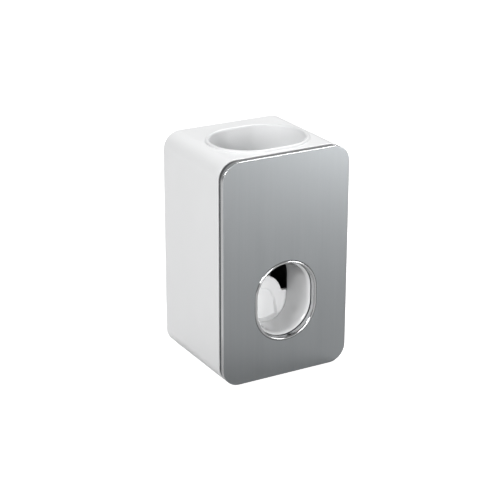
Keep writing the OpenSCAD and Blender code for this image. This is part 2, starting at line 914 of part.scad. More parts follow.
// Two clips in the pin's grooves, open at the bottom
module pin_clips() {
    mouth = 2 * clip_grip_r * clip_mouth_share;
    color([0.55, 0.56, 0.58]) for (x = [-clip_x, clip_x]) translate([x, 0, 0]) difference() {
        bar_x(pin_r + clip_wall, clip_t / 2);
        bar_x(clip_grip_r, clip_t);
        translate([-clip_t, front_y + pivot_depth - mouth / 2, pivot_z - pin_r - clip_wall - over])
            cube([2 * clip_t, mouth, pin_r + clip_wall + over]);
    }
}

// Return spring: one wire wound along a helix

function helix_point(i, len, r) =
    let (turn = 360 * i / spring_steps)
    [r * cos(turn), len * i / (spring_turns * spring_steps), r * sin(turn)];

function helix_ring(i, len) =
    [for (k = [0:wire_sides - 1])
        let (a = 360 * k / wire_sides)
        helix_point(i, len, coil_r + wire_r * cos(a)) + [0, wire_r * sin(a), 0]];

function least_gap(len) =
    min([for (i = [0:spring_turns * spring_steps - spring_steps], j = [spring_steps / 2:spring_steps])
        norm(helix_point(i, len, coil_r) - helix_point(i + j, len, coil_r)) - 2 * wire_r]);

module return_spring() {
    near = spring_front + wire_r;
    len = spring_back - wire_r - near;
    rings = spring_turns * spring_steps;
    points = [for (i = [0:rings]) each helix_ring(i, len)];
    sides = [for (i = [0:rings - 1], k = [0:wire_sides - 1])
        let (a = i * wire_sides + k, b = i * wire_sides + (k + 1) % wire_sides)
        each [[a, b, b + wire_sides], [a, b + wire_sides, a + wire_sides]]];
    first = [[for (k = [wire_sides - 1:-1:0]) k]];
    last = [[for (k = [0:wire_sides - 1]) rings * wire_sides + k]];
    echo(spring_least_gap_mm = least_gap(len));
    color([0.7, 0.71, 0.73]) translate([0, front_y + near, spring_z])
        polyhedron(points, concat(sides, first, last));
}

// Back and wall bracket

// A slot for the hook's neck above an entry for its head
module keyhole_outline(z) {
    slot_w = hook_neck_w + 2 * key_gap;
    translate([-slot_w / 2, z - lift_travel])
        square([slot_w, lift_travel + hook_neck_h / 2 + run_gap]);
    translate([0, z - lift_travel])
        rounded_rect(hook_head_w + 2 * key_gap, hook_head_h + 2 * key_gap, hook_r);
}

module back_cover() {
    color([0.9, 0.9, 0.9]) difference() {
        between_depths(cover_front, cover_back) difference() {
            housing_outline(shell_wall + fit_gap);
            for (side = [-1, 1]) keyhole_outline(bracket_z + side * hook_pitch / 2);
        }
        at_cover_screws() {
            bar_y(screw_hole_r, cover_front - over, cover_back + over);
            bar_y(counter_r, counter_floor, cover_back + over);
        }
    }
}

module cover_screws() {
    color([0.7, 0.7, 0.72]) at_cover_screws() at_depth(counter_floor) rotate([-90, 0, 0])
        screw(cover_head_r, cover_head_h);
}

module wall_bracket() {
    color([0.85, 0.85, 0.86]) {
        between_depths(bracket_front, bracket_back) translate([0, bracket_z])
            rounded_rect(bracket_w, bracket_h, bracket_r);
        for (side = [-1, 1]) translate([0, 0, bracket_z + side * hook_pitch / 2]) {
            between_depths(hook_front + hook_t / 2, bracket_front + bracket_t / 2)
                square([hook_neck_w, hook_neck_h], center = true);
            between_depths(hook_front, hook_front + hook_t)
                rounded_rect(hook_head_w, hook_head_h, hook_r);
        }
    }
}

module adhesive_pad() {
    color([0.3, 0.31, 0.33]) between_depths(bracket_back, adhesive_back) translate([0, bracket_z])
        rounded_rect(bracket_w - 2 * adhesive_margin, bracket_h - 2 * adhesive_margin,
            bracket_r - adhesive_margin);
}

outer_shell();
tube_well();
plate_carrier();
plate_tape();
front_plate();
window_trim();
brush_bowl();
chassis();
chassis_screws();
pump_body();
pump_screws();
neck_seal();
seal_ring();
inlet_flap();
piston();
piston_o_ring();
cylinder_cap();
nozzle_valve();
nozzle_collar();
rocker_lever();
push_pad();
pivot_pin();
pin_clips();
return_spring();
back_cover();
cover_screws();
wall_bracket();
adhesive_pad();
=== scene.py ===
# %% [markdown]
# # A wall-mounted toothpaste dispenser
# The dispenser has a white moulded housing, a brushed metal front with a long window for the
# brush head, a well in the top for the tube and a push pad that works a small pump. The
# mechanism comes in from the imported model, and this lesson dresses it: the large mouldings that
# show are modelled again with smooth rounded edges, and every finish is built from shader nodes.

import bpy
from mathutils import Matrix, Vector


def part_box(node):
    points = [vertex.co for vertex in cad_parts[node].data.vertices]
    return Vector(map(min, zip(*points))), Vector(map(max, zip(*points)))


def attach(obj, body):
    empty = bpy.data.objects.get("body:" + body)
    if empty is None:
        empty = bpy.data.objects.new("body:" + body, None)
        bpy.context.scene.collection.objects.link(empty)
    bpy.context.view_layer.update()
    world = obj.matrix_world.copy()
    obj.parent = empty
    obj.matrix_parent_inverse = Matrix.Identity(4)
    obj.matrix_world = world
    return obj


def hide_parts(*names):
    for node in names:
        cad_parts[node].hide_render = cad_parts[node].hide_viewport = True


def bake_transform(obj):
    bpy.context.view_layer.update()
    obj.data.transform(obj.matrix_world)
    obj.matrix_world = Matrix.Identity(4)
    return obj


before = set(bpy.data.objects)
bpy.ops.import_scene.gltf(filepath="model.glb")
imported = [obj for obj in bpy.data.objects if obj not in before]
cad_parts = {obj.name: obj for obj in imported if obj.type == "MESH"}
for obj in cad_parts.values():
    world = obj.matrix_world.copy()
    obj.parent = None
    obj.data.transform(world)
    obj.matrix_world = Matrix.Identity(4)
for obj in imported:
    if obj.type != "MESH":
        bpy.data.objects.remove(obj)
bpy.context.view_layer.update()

# %% Other modules
import math

import bmesh
import bpy
from mathutils import Matrix, Vector

# %% [markdown]
# ## Sizes
# Everything is modelled in millimetres and turned into metres when a piece is finished, so that
# the numbers read like those on a drawing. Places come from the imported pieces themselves: a
# depth is counted back from the face of the front plate, and a height up from the base.

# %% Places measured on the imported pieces
MM = 0.001


def box_mm(node):
    """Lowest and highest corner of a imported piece, in millimetres."""
    return [[c / MM for c in corner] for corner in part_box(node)]


plate_low, plate_high = box_mm("front_plate")
shell_low, shell_high = box_mm("outer_shell")
well_low, well_high = box_mm("tube_well")
FRONT = plate_low[1]
WIDTH = plate_high[0] - plate_low[0]
HEIGHT = plate_high[2] - plate_low[2]
PLATE_T = plate_high[1] - plate_low[1]
SHELL_FRONT = shell_low[1] - FRONT
SHELL_BACK = shell_high[1] - FRONT
WELL_Y = (well_low[1] + well_high[1]) / 2
print(f"front face at y {FRONT:.3f}, {WIDTH:.2f} wide, {HEIGHT:.2f} high")
print(f"housing from depth {SHELL_FRONT:.2f} to {SHELL_BACK:.2f}, well centred at y {WELL_Y:.3f}")

# %% Sizes that several pieces share
CORNER, WALL = 8, 2.2  # corner radius and wall of the housing
WINDOW_Z, WINDOW_W = 34.8, 31  # middle height and width of the brush window
WINDOW_STRAIGHT = 6  # the window is a circle pulled apart by this much
WELL_STRAIGHT = 9.6  # and so is the well, along X
SEAM = 1e-4  # points closer than this are one point
ON_PLANE = 1e-3  # points closer than this to a plane lie on it
print("window", WINDOW_W, "by", WINDOW_W + WINDOW_STRAIGHT, "mm")

# %% [markdown]
# ## Camera
# The photograph looks from the left front and a little above, with a long lens that keeps the
# upright edges almost parallel. The place and the turns were found by fitting the outline of the
# housing. The image is square.

# %% The camera of the photograph
LENS_MM, SENSOR_MM = 113.054, 36
CAMERA_PLACE = (-0.324916, -0.561400, 0.298530)
CAMERA_TURN, CAMERA_DOWN, CAMERA_ROLL = -29.8705, 21.0324, 0.167

lens = bpy.data.cameras.new("photo_camera")
lens.lens = LENS_MM
lens.sensor_width = SENSOR_MM
lens.clip_start = 0.01
camera = bpy.data.objects.new("photo_camera", lens)
bpy.context.collection.objects.link(camera)
camera.matrix_world = (Matrix.Translation(CAMERA_PLACE)
                       @ Matrix.Rotation(math.radians(CAMERA_TURN), 4, "Z")
                       @ Matrix.Rotation(math.radians(90 - CAMERA_DOWN), 4, "X")
                       @ Matrix.Rotation(math.radians(CAMERA_ROLL), 4, "Z"))
bpy.context.scene.camera = camera
print("camera at", [round(c, 3) for c in camera.location])

# %% [markdown]
# ## Shader maths
# Node trees are easier to read as expressions. One small class wraps a socket: the usual
# operators add Math nodes, and its one method adds any other node. The settings of a node are
# set before its sockets, because some settings change which sockets there are.

# %% A socket that takes arithmetic
class Wire:
    """A node tree and one of its sockets; sums and products of wires add Math nodes."""

    def __init__(self, tree, socket=None):
        self.tree = tree
        self.socket = socket

    def node(self, kind, settings=None, sockets=None, output=0):
        """Adds a node with its settings, then the values or links of its sockets."""
        made = self.tree.nodes.new(kind)
        for name, value in (settings or {}).items():
            setattr(made, name, value)
        for name, value in (sockets or {}).items():
            if isinstance(value, Wire):
                self.tree.links.new(value.socket, made.inputs[name])
            else:
                made.inputs[name].default_value = value
        return Wire(self.tree, made.outputs[output] if made.outputs else None)

    def maths(self, operation, other):
        return self.node("ShaderNodeMath", {"operation": operation}, {0: self, 1: other})

    def __add__(self, other):
        return self.maths("ADD", other)

    def __mul__(self, other):
        return self.maths("MULTIPLY", other)

    __radd__ = __add__
    __rmul__ = __mul__


def new_material(name):
    """An empty material and the wire that adds its nodes."""
    material = bpy.data.materials.new(name)
    material.use_nodes = True
    material.node_tree.nodes.clear()
    return material, Wire(material.node_tree)


print("operators: + *")

# %% [markdown]
# ## Stage
# The product stands alone on white. The floor is a pale matt sheet that really takes the
# object's soft shadow; what the camera sees of it is lifted towards white by a little glow that
# only camera rays meet, so no extra light falls on the object. The world does the same: it
# lights the object dimly from all sides, looks white to the camera, and is a little lighter
# where a shiny face mirrors it.

# %% Floor
FLOOR_TONE, FLOOR_GLOW = 0.6, 0.85
FLOOR_HALF, FLOOR_DROP = 2.5, 0.0004  # metres; the drop keeps it clear of the base
floor_paint, wire = new_material("pale_floor")
seen = wire.node("ShaderNodeLightPath", output="Is Camera Ray")
sheet = wire.node("ShaderNodeBsdfDiffuse", {}, {"Color": (FLOOR_TONE, FLOOR_TONE, FLOOR_TONE, 1)})
glow = wire.node("ShaderNodeEmission", {}, {"Strength": seen * FLOOR_GLOW})
both = wire.node("ShaderNodeAddShader", {}, {0: sheet, 1: glow})
wire.node("ShaderNodeOutputMaterial", {}, {"Surface": both})

ground = bmesh.new()
bmesh.ops.create_grid(ground, x_segments=1, y_segments=1, size=FLOOR_HALF)
bmesh.ops.translate(ground, vec=(0, 0, -FLOOR_DROP), verts=ground.verts[:])
floor_mesh = bpy.data.meshes.new("floor")
ground.to_mesh(floor_mesh)
ground.free()
floor_mesh.materials.append(floor_paint)
floor = bpy.data.objects.new("floor", floor_mesh)
bpy.context.collection.objects.link(floor)
print("floor", [round(c, 2) for c in floor.dimensions])

# %% World
WORLD_LIGHT, GLOSSY_SHARE = 0.17, 0.2
world = bpy.data.worlds.new("soft_room")
world.use_nodes = True
world.node_tree.nodes.clear()
bpy.context.scene.world = world
wire = Wire(world.node_tree)
shown = (wire.node("ShaderNodeLightPath", output="Is Camera Ray")
         + wire.node("ShaderNodeLightPath", output="Is Glossy Ray") * GLOSSY_SHARE
         + wire.node("ShaderNodeLightPath", output="Is Transmission Ray"))
air = wire.node("ShaderNodeBackground", {},
                {"Color": (1, 1, 1, 1), "Strength": shown * (1 - WORLD_LIGHT) + WORLD_LIGHT})
wire.node("ShaderNodeOutputWorld", {}, {"Surface": air})
bpy.context.scene.view_settings.view_transform = "Standard"
print("world light", WORLD_LIGHT)

# %% [markdown]
# ## Lamps
# Four soft lamps shape the object. The high one stands to the right and behind: it makes the top
# the lightest white without reaching the rounded left edge or the inside of the well. The key at
# the left lights the left side, the right wall of the well and just the mouth of the bowl. The
# front lamp stands low and straight in front, so that it reaches the pad at the back of the bowl.
# The small lamp stands at the right front, just above the floor: there the brushed plate mirrors
# it, which makes the plate lighter above, and the edge of the window keeps most of it off the pad.

# %% Soft lamps
AIM = Vector((0, 0, 0.05))


def soft_lamp(name, place, size, power):
    """A square area lamp that looks at the middle of the object; metres and watts."""
    data = bpy.data.lights.new(name, "AREA")
    data.size = size
    data.energy = power
    lamp = bpy.data.objects.new(name, data)
    bpy.context.collection.objects.link(lamp)
    lamp.location = place
    lamp.rotation_euler = (AIM - Vector(place)).to_track_quat("-Z", "Y").to_euler()
    print(name, "at", place, "power", power)


soft_lamp("high", (0.6, 0.38, 1.02), 0.5, 10.2)
soft_lamp("key", (-0.82, -0.24, 0.62), 0.28, 5.9)
soft_lamp("front", (-0.02, -1.15, 0.25), 0.4, 6.7)
soft_lamp("gloss", (0.27, -0.37, 0.066), 0.11, 0.5)

# %% [markdown]
# ## Plastic finishes
# Moulded plastic looks flat without two things: a very faint cloud in its colour and shine, from
# the way the melt filled the mould, and a fine texture that breaks up the highlight. Both are
# noise in object space, so they stay put when the view turns or a piece moves.

# %% Helpers for a finish
def grain(wire, scale, stretch=(1, 1, 1), detail=3):
    """Noise from 0 to 1 in object space; the scale is in waves a metre."""
    point = wire.node("ShaderNodeTexCoord", output="Object")
    placed = wire.node("ShaderNodeMapping", {}, {"Vector": point, "Scale": stretch})
    return wire.node("ShaderNodeTexNoise", {},
                     {"Vector": placed, "Scale": scale, "Detail": detail})


def between(wire, share, low, high):
    """A colour that goes from one to another."""
    return wire.node("ShaderNodeMix", {"data_type": "RGBA"},
                     {"Factor": share, 6: (*low, 1), 7: (*high, 1)}, output=2)


def around(share, middle, swing):
    """A value that swings about its middle."""
    return share * swing + (middle - swing / 2)


def relief(wire, height, strength, deep=0.00005):
    """A shallow relief for the shading; how deep it is, in metres."""
    return wire.node("ShaderNodeBump", {},
                     {"Height": height, "Strength": strength, "Distance": deep})


def surface(wire, sockets):
    """The shader of a finish, joined to its output."""
    wire.node("ShaderNodeOutputMaterial", {},
              {"Surface": wire.node("ShaderNodeBsdfPrincipled", {}, sockets)})


print("noise, tint and relief ready")

# %% Moulded plastic
CLOUD_WAVES = 70
COAT_ROUGH = 0.1


def moulded(name, colour, rough, texture=2500, depth=0.15, coat=0.0):
    """Plastic with a cloud of 3% in its colour and a fine texture."""
    material, wire = new_material(name + "_finish")
    cloud = grain(wire, CLOUD_WAVES)
    fine = grain(wire, texture, detail=2)
    surface(wire, {
        "Base Color": between(wire, cloud, [c * 0.97 for c in colour], colour),
        "Roughness": around(cloud, rough, 0.08),
        "Normal": relief(wire, fine, depth),
        "Coat Weight": coat,
        "Coat Roughness": COAT_ROUGH,
    })
    print("finish", name)
    return material


white_gloss = moulded("white_gloss", (0.87, 0.875, 0.88), 0.36, coat=0.12)
# The bowl is the same white plastic made darker: painted shade for the inside of the bowl.
bowl_shaded_white = moulded("bowl_shaded_white", (0.74, 0.745, 0.75), 0.24, 1400, 0.05, 1.0)
# The well is the same white plastic made a little darker: painted shade for the inside of the
# well.
well_white = moulded("well_white", (0.79, 0.795, 0.8), 0.42, coat=0.08)
pad_white = moulded("pad_white", (0.87, 0.875, 0.88), 0.55)
back_white = moulded("back_white", (0.8, 0.805, 0.81), 0.55, 1600, 0.4)
# The carrier's grey is made near black: partly its own dark plastic, partly painted shade for the
# groove round the plate.
carrier_grey = moulded("carrier_grey", (0.07, 0.073, 0.077), 0.5, 1800, 0.35)
black_frame = moulded("black_frame", (0.03, 0.03, 0.031), 0.55, 1800, 0.4)
pump_natural = moulded("pump_natural", (0.72, 0.75, 0.77), 0.35, coat=0.2)
acetal_white = moulded("acetal_white", (0.8, 0.8, 0.77), 0.45)

# %% [markdown]
# ## Soft finishes
# The seal, the flap and the duckbill are silicone and the O-ring is black nitrile. Both are matt
# and a little dusty, so they are the same plastic with more roughness and no coat. The tape and
# the wall pad are closed-cell foam, whose open cut cells show as small pits: a Voronoi pattern
# gives each cell its pit in the relief, and darkens the middle of each cell as painted shade.

# %% Silicone and rubber
seal_silicone = moulded("seal_silicone", (0.56, 0.62, 0.64), 0.55, 1400, 0.2)
valve_silicone = moulded("valve_silicone", (0.72, 0.33, 0.26), 0.5, 1400, 0.2)
o_ring_black = moulded("o_ring_black", (0.02, 0.02, 0.021), 0.45)

# %% Foam
FOAM_WAVES, FOAM_DEEP = 1700, 0.0002


def foam(name, colour):
    """Foam: round cells of about half a millimetre, with painted shade in their pits."""
    material, wire = new_material(name + "_finish")
    point = wire.node("ShaderNodeTexCoord", output="Object")
    cells = wire.node("ShaderNodeTexVoronoi", {"feature": "F1"},
                      {"Vector": point, "Scale": FOAM_WAVES})
    surface(wire, {
        # The middle of each cell is darker: painted shade in the pit.
        "Base Color": between(wire, cells, [c * 0.55 for c in colour], colour),
        "Roughness": 0.9,
        "Normal": relief(wire, cells, 0.5, FOAM_DEEP),
    })
    print("finish", name)
    return material


tape_black = foam("tape_black", (0.03, 0.03, 0.03))
adhesive_foam = foam("adhesive_foam", (0.2, 0.205, 0.215))

# %% [markdown]
# ## Metal finishes
# The front is brushed aluminium: the brush leaves thousands of fine upright lines. They are
# noise stretched along the height, used twice, for a slight change of tone and for a shallow
# relief that spreads the reflection sideways. The rim round it is rounded after brushing and
# shines much more. The trim ring is chrome, and screws, pin and spring are zinc-plated steel.

# %% Brushed and polished metal
BRUSH_DEEP = 0.00002
HAZE_WAVES = 300


def brushed(name, dark, light, rough, lines=2200, along=(1, 1, 0.012), depth=0.1):
    """Metal with fine lines along the height."""
    material, wire = new_material(name + "_finish")
    fine = grain(wire, lines, along, detail=4)
    broad = grain(wire, lines / 9, along, detail=2)
    tone = fine * 0.7 + broad * 0.3
    surface(wire, {
        "Base Color": between(wire, tone, dark, light),
        "Metallic": 1.0,
        "Roughness": around(tone, rough, 0.12),
        "Normal": relief(wire, fine, depth, BRUSH_DEEP),
    })
    print("finish", name)
    return material


def polished(name, colour, rough):
    """Bright metal with the faintest haze."""
    material, wire = new_material(name + "_finish")
    haze = grain(wire, HAZE_WAVES)
    surface(wire, {
        "Base Color": between(wire, haze, [c * 0.96 for c in colour], colour),
        "Metallic": 1.0,
        "Roughness": haze * 0.05 + rough,
    })
    print("finish", name)
    return material


brushed_plate = brushed("brushed_plate", (0.252, 0.264, 0.272), (0.285, 0.297, 0.305), 0.37)
plate_edge = polished("plate_edge", (0.72, 0.73, 0.74), 0.2)
trim_chrome = polished("trim_chrome", (0.52, 0.525, 0.53), 0.1)
steel = brushed("steel", (0.5, 0.51, 0.52), (0.62, 0.63, 0.64), 0.3, 4000, (1, 1, 0.1))

# %% [markdown]
# ## Outlines with round corners
# The housing, the plate, the window and the mouth of the well are one family of outlines: a
# rectangle whose corners are rounded, up to a radius of half its width. A grid of one face gives
# the rectangle and a bevel of its corner points gives the arcs, so one helper draws them all.

# %% Rounded outline
UPRIGHT = Matrix.Rotation(math.radians(90), 4, "X")
LEVEL = Matrix.Identity(4)


def round_off(bm, parts, radius, segments, affect):
    """Bevels edges or corner points to arcs."""
    bmesh.ops.bevel(bm, geom=parts, offset=radius, segments=segments, profile=0.5,
                    affect=affect, material=-1, clamp_overlap=False)


def outline(bm, width, height, radius, turn, place, steps=20):
    """The edges of a rounded rectangle; turn lays or stands it, place is its middle."""
    before = set(bm.verts)
    put = Matrix.Translation(place) @ turn @ Matrix.Diagonal((width, height, 1, 1))
    corners = bmesh.ops.create_grid(bm, x_segments=1, y_segments=1, size=0.5, matrix=put)
    round_off(bm, corners["verts"], radius, steps, "VERTICES")
    fresh = [v for v in bm.verts if v not in before]
    bmesh.ops.remove_doubles(bm, verts=fresh, dist=SEAM)
    fresh = {v for v in bm.verts if v not in before}
    faces = [f for f in bm.faces if all(v in fresh for v in f.verts)]
    bmesh.ops.delete(bm, geom=faces, context="FACES_ONLY")
    return [e for e in bm.edges if all(v in fresh for v in e.verts)]


print("outline helper ready")

# %% From outline to solid
def fill(bm, edges, normal=(0, 0, 0)):
    """Fills flat outlines that lie one inside the other."""
    bmesh.ops.triangle_fill(bm, use_beauty=True, edges=edges, normal=normal)


def face_outwards(bm):
    bmesh.ops.recalc_face_normals(bm, faces=bm.faces[:])


def thicken(bm, move):
    """Pulls a flat mesh out into a solid and returns the points that were pulled."""
    grown = bmesh.ops.extrude_face_region(bm, geom=bm.faces[:])
    moved = [g for g in grown["geom"] if isinstance(g, bmesh.types.BMVert)]
    bmesh.ops.translate(bm, vec=move, verts=moved)
    face_outwards(bm)
    return moved


def rim_edges(bm, y):
    """The outer outline at one depth: of the loops of edges there, the widest one."""
    flat = [e for e in bm.edges if all(abs(v.co.y - y) < ON_PLANE for v in e.verts)]
    rim = [e for e in flat if len({round(f.normal.y, 2) for f in e.link_faces}) > 1]
    loops = []
    while rim:
        loop, grow = [rim.pop()], True
        while grow:
            ends = {v for e in loop for v in e.verts}
            near = [e for e in rim if ends & set(e.verts)]
            grow = bool(near)
            loop += near
            rim = [e for e in rim if e not in near]
        loops.append(loop)
    return max(loops, key=lambda loop: max(abs(v.co.x) for e in loop for v in e.verts))


print("fill, thicken and rim helpers ready")

# %% [markdown]
# ## From bmesh to piece
# A finished bmesh is joined at its seams, scaled to metres and made an object: it rides on a
# body, stands for its imported node and takes its finishes. Weighted normals keep the flats flat,
# while the narrow bevels between them take all of the shading.

# %% Finish a piece
def finish_piece(bm, name, body, node, finishes, sharp=38):
    """Makes the bmesh an object; edges that turn by more than sharp degrees stay crisp."""
    bmesh.ops.remove_doubles(bm, verts=bm.verts[:], dist=SEAM)
    loose = sum(not e.is_manifold for e in bm.edges)
    bmesh.ops.scale(bm, vec=(MM, MM, MM), verts=bm.verts[:])
    volume = bm.calc_volume(signed=True)
    mesh = bpy.data.meshes.new(name)
    bm.to_mesh(mesh)
    bm.free()
    mesh.shade_smooth()
    mesh.set_sharp_from_angle(angle=math.radians(sharp))
    for finish in finishes:
        mesh.materials.append(finish)
    piece = bpy.data.objects.new(name, mesh)
    bpy.context.collection.objects.link(piece)
    even = piece.modifiers.new("even_shading", "WEIGHTED_NORMAL")
    even.keep_sharp = True
    if body:
        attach(piece, body)
    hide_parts(node)
    print(f"{name}: {len(mesh.polygons)} faces, {loose} open edges, {volume * 1e6:.3f} cm3")
    return piece


# %% [markdown]
# ## Housing
# The housing is a tube with a 2.2 mm wall, moulded in one with its top and bottom. An outer and
# an inner outline are filled to a ring and pulled back to full depth. Then the flat of the top is
# taken out and filled again round the long hole of the well, outside and inside, and the two
# hole edges are bridged. Last, the sharp front and back edges get the small radius that every
# moulding has.

# %% Ring of the housing
MIDDLE_Z = HEIGHT / 2
bm = bmesh.new()
start = (0, FRONT + SHELL_FRONT, MIDDLE_Z)
edges = outline(bm, WIDTH, HEIGHT, CORNER, UPRIGHT, start)
edges += outline(bm, WIDTH - 2 * WALL, HEIGHT - 2 * WALL, CORNER - WALL, UPRIGHT, start)
fill(bm, edges, (0, -1, 0))
thicken(bm, (0, SHELL_BACK - SHELL_FRONT, 0))
print("ring", len(bm.faces), "faces, volume", round(bm.calc_volume() / 1000, 2), "cm3")

# %% Hole for the well
HOLE_LONG, HOLE_WIDE = 45.5, 35.9
for height in (HEIGHT, HEIGHT - WALL):
    flat = [f for f in bm.faces if abs(f.normal.z) > 0.999
            and all(abs(v.co.z - height) < ON_PLANE for v in f.verts)]
    round_top = [e for e in bm.edges if any(f in flat for f in e.link_faces)]
    bmesh.ops.delete(bm, geom=flat, context="FACES_ONLY")
    hole = outline(bm, HOLE_LONG, HOLE_WIDE, HOLE_WIDE / 2, LEVEL, (0, WELL_Y, height))
    fill(bm, round_top + hole, (0, 0, 1))
hole_edges = [e for e in bm.edges if e.is_boundary]
bmesh.ops.bridge_loops(bm, edges=hole_edges)
face_outwards(bm)
print("hole edges bridged:", len(hole_edges))

# %% Edges of the housing
FRONT_RADIUS, BACK_RADIUS = 0.45, 0.6
for depth, radius in ((SHELL_FRONT, FRONT_RADIUS), (SHELL_BACK, BACK_RADIUS)):
    rim = rim_edges(bm, FRONT + depth)
    round_off(bm, rim, radius, 4, "EDGES")
    print("rounded", len(rim), "edges by", radius, "mm")
finish_piece(bm, "housing_moulding", "housing", "outer_shell", [white_gloss])

# %% [markdown]
# ## Front plate
# The plate is cut from brushed sheet, so it is an outline with a window in it, pulled out to its
# thickness. Its rim is rounded after brushing: the rim is bevelled, and what looks straight
# forward stays brushed, what looks back takes the near-black of the carrier, as painted shade that
# keeps the groove between plate and housing dark, and everything between takes the bright finish.

# %% Plate
RIM_RADIUS = 0.28
BRUSHED, BRIGHT, SHADED_BACK = 0, 1, 2
bm = bmesh.new()
edges = outline(bm, WIDTH, HEIGHT, CORNER, UPRIGHT, (0, FRONT, MIDDLE_Z))
edges += outline(bm, WINDOW_W, WINDOW_W + WINDOW_STRAIGHT, WINDOW_W / 2, UPRIGHT,
                 (0, FRONT, WINDOW_Z), 32)
fill(bm, edges, (0, -1, 0))
thicken(bm, (0, PLATE_T, 0))
round_off(bm, rim_edges(bm, FRONT), RIM_RADIUS, 4, "EDGES")
# The back faces take the near-black of the carrier: painted shade for the groove behind the rim.
for face in bm.faces:
    back = face.normal.y
    face.material_index = BRUSHED if back < -0.95 else SHADED_BACK if back > 0.6 else BRIGHT
finish_piece(bm, "plate_panel", "housing", "front_plate",
             [brushed_plate, plate_edge, carrier_grey])

# %% [markdown]
# ## Sweeps round a long loop
# The trim ring, the bowl and the well are each one section carried round a long loop: half a
# turn, a straight stretch and the same again. The section is drawn as a small face so that its
# corners can be bevelled, spun through 180 degrees, pulled out to the middle plane and mirrored.

# %% Sweep
def section(bm, points, start):
    """A closed outline of (radius, height) points; a third number rounds that corner."""
    verts = [bm.verts.new((start, -p[0], p[1])) for p in points]
    bm.faces.new(verts)
    for vert, point in zip(verts, points):
        if len(point) == 3:
            round_off(bm, [vert], point[2], 8, "VERTICES")
    bmesh.ops.remove_doubles(bm, verts=bm.verts[:], dist=SEAM)
    bmesh.ops.delete(bm, geom=bm.faces[:], context="FACES_ONLY")
    return bm.edges[:]


def long_loop(points, straight, steps):
    """The section swept round the loop, lying level with its long side along X."""
    bm = bmesh.new()
    first = section(bm, points, straight / 2)
    turned = bmesh.ops.spin(bm, geom=bm.verts[:] + first, cent=(straight / 2, 0, 0),
                            axis=(0, 0, 1), angle=math.pi, steps=steps)
    last = [g for g in turned["geom_last"] if isinstance(g, bmesh.types.BMEdge)]
    for ring in (first, last):
        pulled = bmesh.ops.extrude_edge_only(bm, edges=ring)
        ends = [g for g in pulled["geom"] if isinstance(g, bmesh.types.BMVert)]
        bmesh.ops.translate(bm, vec=(-straight / 2, 0, 0), verts=ends)
    bmesh.ops.mirror(bm, geom=bm.verts[:] + bm.edges[:] + bm.faces[:], axis="X",
                     merge_dist=SEAM)
    bmesh.ops.remove_doubles(bm, verts=bm.verts[:], dist=SEAM)
    face_outwards(bm)
    return bm


# Stands a level loop up round the window: its X becomes height and its height becomes depth
STAND = Matrix(((0, 1, 0, 0), (0, 0, 1, FRONT), (1, 0, 0, WINDOW_Z), (0, 0, 0, 1)))
print("sweep ready; a proper turn:", round(STAND.determinant(), 3))

# %% [markdown]
# ## Trim ring
# A chromed ring lines the window and hides the cut edge of the plate. It is a thin wall with a
# round nose that stands a little proud, so that the nose catches a fine highlight all round. The
# two front corners of its section are rounded until they nearly meet.

# %% Trim ring
TRIM_IN, TRIM_OUT, TRIM_NOSE = 14.15, 15.45, 0.64
TRIM_FRONT, TRIM_BACK = -0.35, 2.1
bm = long_loop([(TRIM_IN, TRIM_BACK), (TRIM_IN, TRIM_FRONT, TRIM_NOSE),
                (TRIM_OUT, TRIM_FRONT, TRIM_NOSE), (TRIM_OUT, TRIM_BACK)], WINDOW_STRAIGHT, 48)
bmesh.ops.transform(bm, matrix=STAND, verts=bm.verts[:])
finish_piece(bm, "trim_ring", "housing", "window_trim", [trim_chrome])

# %% [markdown]
# ## Brush bowl
# The bowl is one moulding: a rolled mouth just behind the trim, a flange, and a wall that
# narrows a little towards the back. The mouth is an arc of 3 mm that leaves the wall smoothly,
# so its highlight is broad. The back edge is upright beside the head of the pad and leans
# forward under it, so one slanting plane cuts the swept bowl.

# %% Section of the bowl
BOWL_FRONT, BOWL_BACK, BOWL_WALL = 2.4, 20.5, 1.2
MOUTH_IN, MOUTH_R = 13.0, 3.0
BACK_IN, BACK_OUT, BOWL_OUT = 12.8, 14.0, 14.2
FLANGE_OUT, FLANGE_BACK = 17.0, 5.6
roll = math.acos(1 - BOWL_WALL / MOUTH_R)
turns = [roll * i / 12 for i in range(11)]
mouth = [(MOUTH_IN + MOUTH_R * (1 - math.cos(turn)),
          BOWL_FRONT + MOUTH_R * (math.sin(roll) - math.sin(turn))) for turn in turns]
outside = [(14.0, 2.75), (BOWL_OUT, 3.3), (BOWL_OUT, SHELL_FRONT), (FLANGE_OUT, SHELL_FRONT),
           (FLANGE_OUT, FLANGE_BACK, 0.3), (BOWL_OUT, FLANGE_BACK), (BACK_OUT, BOWL_BACK)]
print("mouth rolls", round(math.degrees(roll), 1), "degrees")

# %% Bowl
HEEL_Z = 29.6  # the back edge and the pad lean forward below this height
LEAN_HEIGHT, FACE_LEAN, BACK_LEAN = 10.8, 4.4, 2.4  # by so much over that height
bm = long_loop([(BACK_IN, BOWL_BACK)] + mouth + outside, WINDOW_STRAIGHT, 56)
bmesh.ops.transform(bm, matrix=STAND, verts=bm.verts[:])
slant = bmesh.ops.bisect_plane(bm, geom=bm.verts[:] + bm.edges[:] + bm.faces[:], dist=SEAM,
                               plane_co=(0, FRONT + BOWL_BACK, HEEL_Z),
                               plane_no=(0, LEAN_HEIGHT, -FACE_LEAN), clear_outer=True)
cut = [g for g in slant["geom_cut"] if isinstance(g, bmesh.types.BMEdge)]
fill(bm, [e for e in bm.edges if e.is_boundary])
face_outwards(bm)
print("slanting cut made", len(cut), "edges")

# %% [markdown]
# ## Hole of the nozzle
# The nozzle looks down through the top of the bowl. A Boolean is the plain tool for a round hole
# in a curved wall: it is applied at once, so the piece stays one clean mesh.

